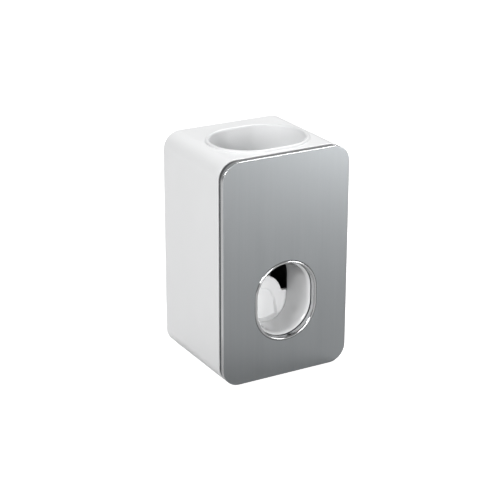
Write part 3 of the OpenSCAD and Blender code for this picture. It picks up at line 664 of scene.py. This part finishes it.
# %% Drill the bowl
def drilled(bm, place, radius, length):
    """Cuts an upright round hole."""
    drill = bmesh.new()
    bmesh.ops.create_cone(drill, cap_ends=True, segments=48, radius1=radius, radius2=radius,
                          depth=length, matrix=Matrix.Translation(place))
    made = []
    for source in (bm, drill):
        mesh = bpy.data.meshes.new("scratch")
        source.to_mesh(mesh)
        source.free()
        item = bpy.data.objects.new("scratch", mesh)
        bpy.context.collection.objects.link(item)
        made.append(item)
    cutter = made[0].modifiers.new("hole", "BOOLEAN")
    cutter.operation = "DIFFERENCE"
    cutter.solver = "EXACT"
    cutter.object = made[1]
    bpy.context.view_layer.update()
    result = bmesh.new()
    result.from_object(made[0], bpy.context.evaluated_depsgraph_get())
    for item in made:
        mesh = item.data
        bpy.data.objects.remove(item)
        bpy.data.meshes.remove(mesh)
    print("hole of radius", radius, "leaves", len(result.faces), "faces")
    return result


NOZZLE_DEPTH, NOZZLE_UP, NOZZLE_R = 12.5, 16.2, 4.3
bm = drilled(bm, (0, FRONT + NOZZLE_DEPTH, WINDOW_Z + NOZZLE_UP), NOZZLE_R, 4)
finish_piece(bm, "bowl_moulding", "housing", "brush_bowl", [bowl_shaded_white])

# %% [markdown]
# ## Tube well
# The well hangs in the top hole by a half-round bead and narrows towards its floor, which has
# the round opening over the soft socket. The section has the bead, the wall and the outer part
# of the floor; the rest of the floor is filled round a circle, above and below.

# %% Well
FLOOR_TOP, FLOOR_LOW, FLOOR_R, SOCKET_R = 82.7, 81.1, 11, 8.8
BEAD_TOP, BEAD_OUT, BEAD_IN, BEAD_ROUND = HEIGHT + 0.9, 18.5, 16.7, 0.89
WELL_OUT, FOOT_OUT, FOOT_IN, FOOT_ROUND = 17.8, 16.6, 15.5, 1.2
bm = long_loop([(WELL_OUT, HEIGHT), (BEAD_OUT, HEIGHT), (BEAD_OUT, BEAD_TOP, BEAD_ROUND),
                (BEAD_IN, BEAD_TOP, BEAD_ROUND), (FOOT_IN, FLOOR_TOP, FOOT_ROUND),
                (FLOOR_R, FLOOR_TOP), (FLOOR_R, FLOOR_LOW), (FOOT_OUT, FLOOR_LOW),
                (WELL_OUT, HEIGHT - WALL)], WELL_STRAIGHT, 56)
inner = [f for f in bm.faces
         if all(math.hypot(max(abs(v.co.x) - WELL_STRAIGHT / 2, 0), v.co.y) < FLOOR_R + 0.01
                for v in f.verts)]
bmesh.ops.delete(bm, geom=inner, context="FACES")
for height in (FLOOR_TOP, FLOOR_LOW):
    rim = [e for e in bm.edges
           if e.is_boundary and all(abs(v.co.z - height) < ON_PLANE for v in e.verts)]
    ring = outline(bm, 2 * SOCKET_R, 2 * SOCKET_R, SOCKET_R, LEVEL, (0, 0, height))
    fill(bm, rim + ring, (0, 0, 1))
bmesh.ops.bridge_loops(bm, edges=[e for e in bm.edges if e.is_boundary])
face_outwards(bm)
bmesh.ops.translate(bm, vec=(0, WELL_Y, 0), verts=bm.verts[:])
finish_piece(bm, "well_moulding", "housing", "tube_well", [well_white])

# %% [markdown]
# ## Push pad
# The pad closes the back of the bowl. From the front it is a round foot with two shoulders and a
# domed head, and its face has a soft arch pressed into it, where the end of the brush rests. It
# is modelled as a disc of rings, spun from one spoke. Each ring is then stretched to the outline,
# and the depth of each point comes from the lean of the face, the arch and the rounded rim.

# %% Outline of the pad
FOOT_Z, FOOT_R = 31.8, 13.6
SHOULDER_Z, DOME_Z, DOME_R, FILLET = 30.0, 28.6, 10.2, 1.5
NOTCH_Z = SHOULDER_Z + FILLET
NOTCH_X = math.sqrt((DOME_R + FILLET) ** 2 - (NOTCH_Z - DOME_Z) ** 2)
HUB_Z = 27.5


def in_pad(x, z):
    """True inside the outline: the foot, the dome or the fillet in the notch between them."""
    if z <= SHOULDER_Z:
        return math.hypot(x, z - FOOT_Z) <= FOOT_R
    if math.hypot(x, z - DOME_Z) <= DOME_R:
        return True
    below = (z - DOME_Z) * NOTCH_X < abs(x) * (NOTCH_Z - DOME_Z) and abs(x) < NOTCH_X
    return below and math.hypot(abs(x) - NOTCH_X, z - NOTCH_Z) >= FILLET


def reach(angle):
    """How far the outline lies from the hub in one direction, found by halving."""
    near, far = 0.0, 30.0
    for _ in range(40):
        half = (near + far) / 2
        inside = in_pad(half * math.cos(angle), HUB_Z + half * math.sin(angle))
        near, far = (half, far) if inside else (near, half)
    return near


print("widest reach of the pad:", round(max(reach(math.radians(a)) for a in range(360)), 3), "mm")

# %% Depth of the pad
PAD_FRONT, PAD_BACK, PAD_ROUND = 20.85, 22.85, 0.5
REST_Z, REST_R, REST_FOOT_R, REST_DEEP = 26.6, 6.3, 12.8, 0.6
REST_EDGE = 0.7  # width of the slope round the arch
SOFT_START = 0.5


def lean(z, amount):
    """How far a face leans forward below the heel, with a soft start."""
    below = HEEL_Z - z
    soft = (below + math.sqrt(below * below + SOFT_START)) / 2
    return amount * soft / LEAN_HEIGHT


def smooth(value):
    """From 0 to 1 with no kink at either end."""
    value = min(max(value, 0.0), 1.0)
    return value * value * (3 - 2 * value)


def face_depth(x, z, to_rim):
    """Depth of the face of the pad; to_rim is the distance to the outline."""
    plain = PAD_FRONT - lean(z, FACE_LEAN)
    arch = REST_R - (math.hypot(x, z - REST_Z) if z > REST_Z else abs(x))
    inside = min(arch, REST_FOOT_R - math.hypot(x, z - FOOT_Z))
    press = smooth((inside + 0.1) / REST_EDGE)
    pressed = PAD_FRONT + REST_DEEP - lean(z, BACK_LEAN)
    curl = max(0.0, PAD_ROUND - to_rim)
    rounding = PAD_ROUND - math.sqrt(max(PAD_ROUND * PAD_ROUND - curl * curl, 0.0))
    return plain + (pressed - plain) * press + rounding


print("face of the pad from depth", PAD_FRONT, "and its back from", PAD_BACK)

# %% Pad
# The rings lie closer together near the rim, where the face curls back
shares = [i / 44 * 0.95 for i in range(45)] + [0.962, 0.972, 0.981, 0.989, 0.995, 1.0]
bm = bmesh.new()
spoke = [bm.verts.new((share, 0, 0)) for share in shares]
spoke_edges = [bm.edges.new(pair) for pair in zip(spoke, spoke[1:])]
bmesh.ops.spin(bm, geom=spoke + spoke_edges, cent=(0, 0, 0), axis=(0, 0, 1),
               angle=2 * math.pi, steps=180, use_merge=True)
bmesh.ops.remove_doubles(bm, verts=bm.verts[:], dist=SEAM / 10)
reaches = {}
for vert in bm.verts:
    share = math.hypot(vert.co.x, vert.co.y)
    angle = math.atan2(vert.co.y, vert.co.x)
    spoke_name = round(angle, 4)
    if spoke_name not in reaches:
        reaches[spoke_name] = reach(angle)
    far = reaches[spoke_name]
    x, z = share * far * math.cos(angle), HUB_Z + share * far * math.sin(angle)
    vert.co = (x, FRONT + face_depth(x, z, (1 - share) * far), z)
for vert in thicken(bm, (0, 1, 0)):
    vert.co.y = FRONT + PAD_BACK - lean(vert.co.z, BACK_LEAN)
face_outwards(bm)
finish_piece(bm, "pad_moulding", "push_lever", "push_pad", [pad_white], 60)

# %% [markdown]
# ## Return spring
# The spring stands between the chassis and the back of the pad. It is a round wire spun along a
# helix, with a closed turn at each end.

# %% Spring
COIL_R, WIRE_R, SPRING_Z = 4.0, 0.4, 25.0
SPRING_NEAR, SPRING_FAR = -0.721, 16.621
CLOSED = 2.1 * WIRE_R
STEPS_A_TURN = 30
bm = bmesh.new()
put = Matrix.Translation((COIL_R, SPRING_NEAR, SPRING_Z))
bmesh.ops.create_circle(bm, cap_ends=False, segments=12, radius=WIRE_R, matrix=put)
wound = bm.verts[:] + bm.edges[:]
for turns, rise in ((1, CLOSED), (4, SPRING_FAR - SPRING_NEAR - 2 * CLOSED), (1, CLOSED)):
    steps = STEPS_A_TURN * turns
    coil = bmesh.ops.spin(bm, geom=wound, cent=(0, 0, SPRING_Z), axis=(0, -1, 0),
                          dvec=(0, rise / steps, 0), angle=2 * math.pi * turns, steps=steps)
    wound = coil["geom_last"]
bmesh.ops.holes_fill(bm, edges=[e for e in bm.edges if e.is_boundary], sides=0)
face_outwards(bm)
spring = finish_piece(bm, "spring_coil", None, "return_spring", [steel])
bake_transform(spring)
print("spring from y", SPRING_NEAR, "to", SPRING_FAR)

# %% [markdown]
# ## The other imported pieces
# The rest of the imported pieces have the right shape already. Their meshes stay as they are: a
# small modifier joins the loose triangles and marks as sharp only the edges where two faces
# really turn, so that bores and rods are shaded round. Then each takes its finish.

# %% Shading modifier
SAME_POINT = 1e-6  # metres
SHARP_TURN = 32  # degrees
soft = bpy.data.node_groups.new("soft_shading", "GeometryNodeTree")
soft.interface.new_socket("Geometry", in_out="INPUT", socket_type="NodeSocketGeometry")
soft.interface.new_socket("Geometry", in_out="OUTPUT", socket_type="NodeSocketGeometry")
wire = Wire(soft)
shape = wire.node("NodeGroupInput")
joined = wire.node("GeometryNodeMergeByDistance", {},
                   {"Geometry": shape, "Distance": SAME_POINT})
turn = wire.node("GeometryNodeInputMeshEdgeAngle")
sharp = wire.node("FunctionNodeCompare", {"data_type": "FLOAT", "operation": "GREATER_THAN"},
                  {0: turn, 1: math.radians(SHARP_TURN)})
smoothed = wire.node("GeometryNodeSetShadeSmooth", {"domain": "FACE"},
                     {"Geometry": joined, "Shade Smooth": True})
creased = wire.node("GeometryNodeSetShadeSmooth", {"domain": "EDGE"},
                    {"Geometry": smoothed, "Selection": sharp, "Shade Smooth": False})
wire.node("NodeGroupOutput", {}, {"Geometry": creased})
print("shading modifier of", len(soft.nodes), "nodes")

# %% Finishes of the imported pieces
finishes = {
    "plate_carrier": carrier_grey, "plate_tape": tape_black, "chassis": black_frame,
    "rocker_lever": black_frame, "chassis_screws": steel, "pump_screws": steel,
    "pivot_pin": steel, "pin_clips": steel, "cover_screws": steel,
    "pump_body": pump_natural, "neck_seal": seal_silicone, "seal_ring": acetal_white,
    "inlet_flap": valve_silicone, "nozzle_valve": valve_silicone, "piston": acetal_white,
    "cylinder_cap": acetal_white, "nozzle_collar": acetal_white, "piston_o_ring": o_ring_black,
    "back_cover": back_white, "wall_bracket": back_white, "adhesive_pad": adhesive_foam,
}
for node, finish in finishes.items():
    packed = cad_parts[node]
    for place in packed.material_slots:
        place.material = finish
    shading = packed.modifiers.new("soft_shading", "NODES")
    shading.node_group = soft
print("dressed", len(finishes), "packed pieces")
